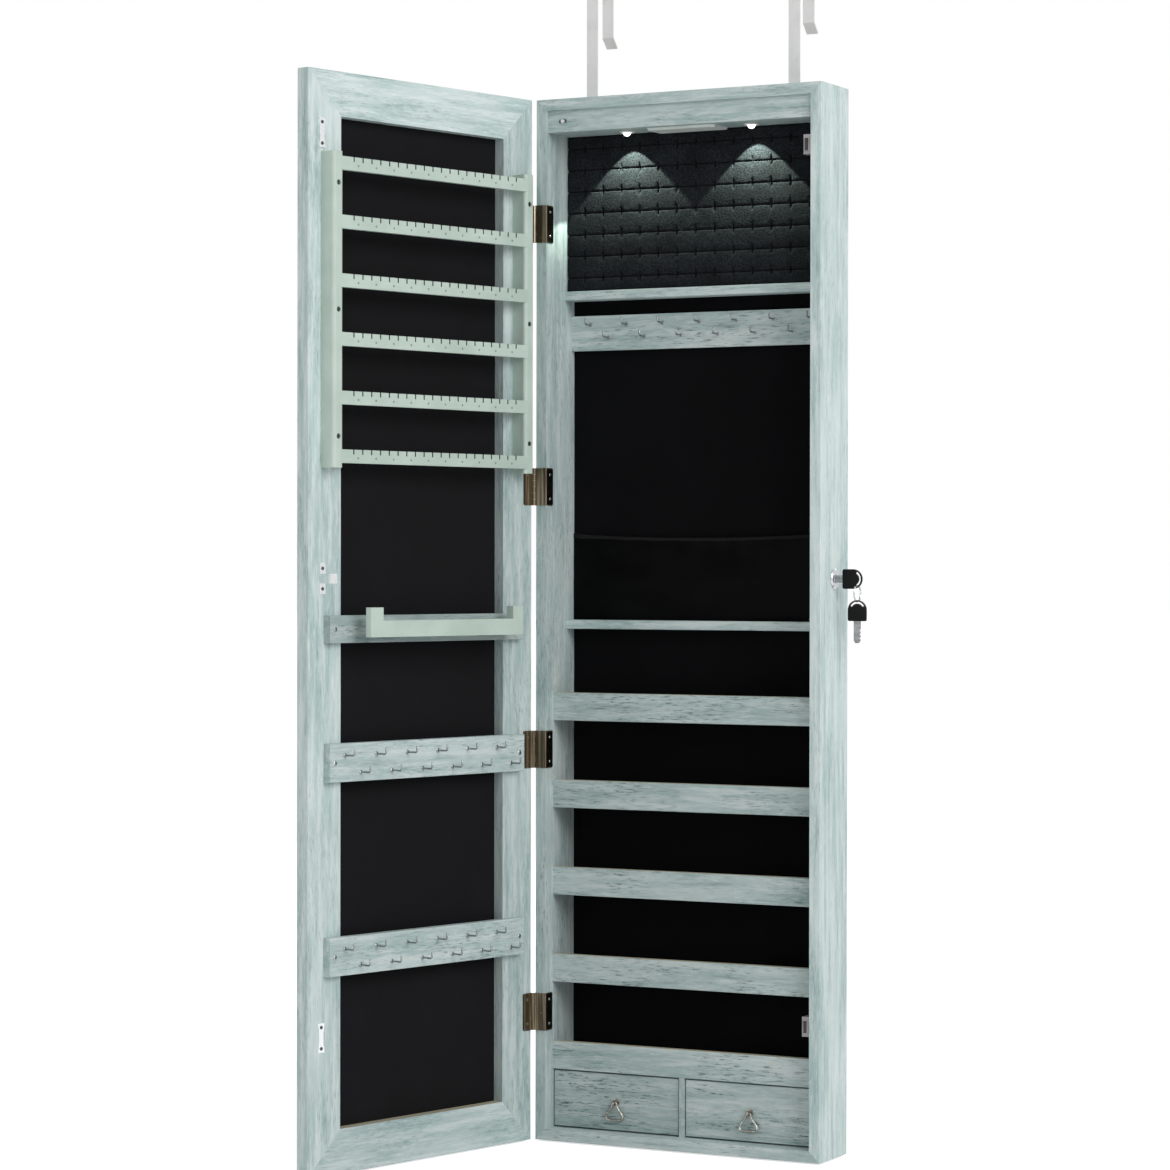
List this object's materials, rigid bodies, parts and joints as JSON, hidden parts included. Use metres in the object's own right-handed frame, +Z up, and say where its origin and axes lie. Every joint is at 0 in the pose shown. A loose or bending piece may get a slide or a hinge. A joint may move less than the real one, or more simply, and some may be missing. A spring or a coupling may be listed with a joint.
{
  "type": "over-door mirror jewelry cabinet",
  "caption": "Tall shallow wall cabinet hung over a door by bent straps, with a mirrored hinged door, lined inside with cushion, necklace rail, bins, drawers, rack and hooks",
  "frame": {"origin": "middle of the lower edge of the case's back, in the plane that lies against the house door", "axes": "+X to the cabinet's right as seen from the front, +Y to the wall, +Z up"},
  "size_m": [0.5045, 0.4785, 1.3368],
  "materials": {
    "case_wood": "washed pale blue-grey paint over board",
    "inner_wood": "black-faced board",
    "back_board": "plain hardboard",
    "lining": "short black nap",
    "foam": "flocked foam",
    "pouch_cloth": "satin black cloth",
    "door_wood": "washed pale blue-grey paint over board",
    "rack_wood": "pale sage paint",
    "mirror_glass": "silvered glass",
    "bronze": "antique bronze plating",
    "hook_steel": "bright wire",
    "strike_steel": "zinc plated",
    "catch_steel": "zinc plated block",
    "strap_paint": "light grey powder coat",
    "lock_chrome": "polished",
    "key_steel": "nickel",
    "key_plastic": "moulded",
    "pull_nickel": "antique nickel",
    "lamp_plastic": "moulded",
    "cover_plastic": "moulded",
    "knob_plastic": "moulded"
  },
  "bodies": {
    "cabinet": {"side_left": "case_wood", "side_right": "case_wood", "top_board": "case_wood", "bottom_board": "case_wood", "light_fascia": "case_wood", "light_panel": "case_wood", "shelf_upper": "case_wood", "shelf_middle": "case_wood", "necklace_rail": "case_wood", "bay_front_1": "case_wood", "bay_front_2": "case_wood", "bay_front_3": "case_wood", "bay_front_4": "case_wood", "bay_front_5": "case_wood", "drawer_divider": "case_wood", "bay_shelves": "inner_wood", "drawer_deck": "inner_wood", "back_panel": "back_board", "back_lining": "lining", "ring_cushion": "foam", "necklace_pouch": "pouch_cloth", "case_hinge_halves": "bronze", "necklace_hooks": "hook_steel", "catches": "catch_steel", "hook_straps": "strap_paint", "lock_body": "lock_chrome", "led_lamps": "lamp_plastic", "battery_box": "cover_plastic"},
    "door": {"door_stile_hinge": "door_wood", "door_stile_free": "door_wood", "door_rail_top": "door_wood", "door_rail_bottom": "door_wood", "mirror": "mirror_glass", "door_backing": "lining", "rack_stiles": "rack_wood", "rack_rungs": "rack_wood", "bracelet_board": "door_wood", "bracelet_bar": "rack_wood", "hook_boards": "door_wood", "door_hooks": "hook_steel", "strike_plates": "strike_steel", "lock_strike": "strike_steel", "door_hinge_halves": "bronze"},
    "drawer_left": {"drawer_front_left": "case_wood", "drawer_box_left": "inner_wood", "pull_post_left": "pull_nickel"},
    "pull_left": {"pull_ring_left": "pull_nickel"},
    "drawer_right": {"drawer_front_right": "case_wood", "drawer_box_right": "inner_wood", "pull_post_right": "pull_nickel"},
    "pull_right": {"pull_ring_right": "pull_nickel"},
    "lock": {"lock_plug": "lock_chrome", "lock_cam": "strike_steel"},
    "key": {"key_blade": "key_steel", "key_bow": "key_plastic"},
    "split_ring": {"key_ring": "lock_chrome"},
    "spare_key": {"spare_key_blade": "key_steel", "spare_key_bow": "key_plastic"},
    "cover": {"battery_cover": "cover_plastic"},
    "knob": {"switch_knob": "knob_plastic"}
  },
  "joints": [
    {"name": "door_swing", "type": "hinge", "parent": "cabinet", "child": "door", "pos_m": [-0.1812, -0.077, 0.6], "axis": [0, 0, -1], "range_deg": [-104, 71]},
    {"name": "drawer_left_slide", "type": "slide", "parent": "cabinet", "child": "drawer_left", "axis": [0, -1, 0], "range_m": [0, 0.03]},
    {"name": "pull_left_swing", "type": "hinge", "parent": "drawer_left", "child": "pull_left", "pos_m": [-0.0846, -0.0597, 0.0469], "axis": [-1, 0, 0], "range_deg": [-5, 170]},
    {"name": "drawer_right_slide", "type": "slide", "parent": "cabinet", "child": "drawer_right", "axis": [0, -1, 0], "range_m": [0, 0.03]},
    {"name": "pull_right_swing", "type": "hinge", "parent": "drawer_right", "child": "pull_right", "pos_m": [0.0846, -0.0597, 0.0469], "axis": [-1, 0, 0], "range_deg": [-5, 170]},
    {"name": "lock_turn", "type": "hinge", "parent": "cabinet", "child": "lock", "pos_m": [0.182, -0.038, 0.6485], "axis": [-1, 0, 0], "range_deg": [0, 90]},
    {"name": "key_slide", "type": "slide", "parent": "lock", "child": "key", "axis": [1, 0, 0], "range_m": [0, 0.02]},
    {"name": "ring_swing", "type": "hinge", "parent": "key", "child": "split_ring", "pos_m": [0.207, -0.038, 0.63242], "axis": [1, 0, 0], "range_deg": [-60, 60]},
    {"name": "spare_key_swing", "type": "hinge", "parent": "split_ring", "child": "spare_key", "pos_m": [0.207, -0.038, 0.62302], "axis": [0, 1, 0], "range_deg": [-40, 25]},
    {"name": "battery_cover_swing", "type": "hinge", "parent": "cabinet", "child": "cover", "pos_m": [0.042, -0.046, 1.16185], "axis": [0, -1, 0], "range_deg": [0, 80]},
    {"name": "light_switch_slide", "type": "slide", "parent": "cabinet", "child": "knob", "axis": [1, 0, 0], "range_m": [-0.0025, 0.0025]}
  ]
}
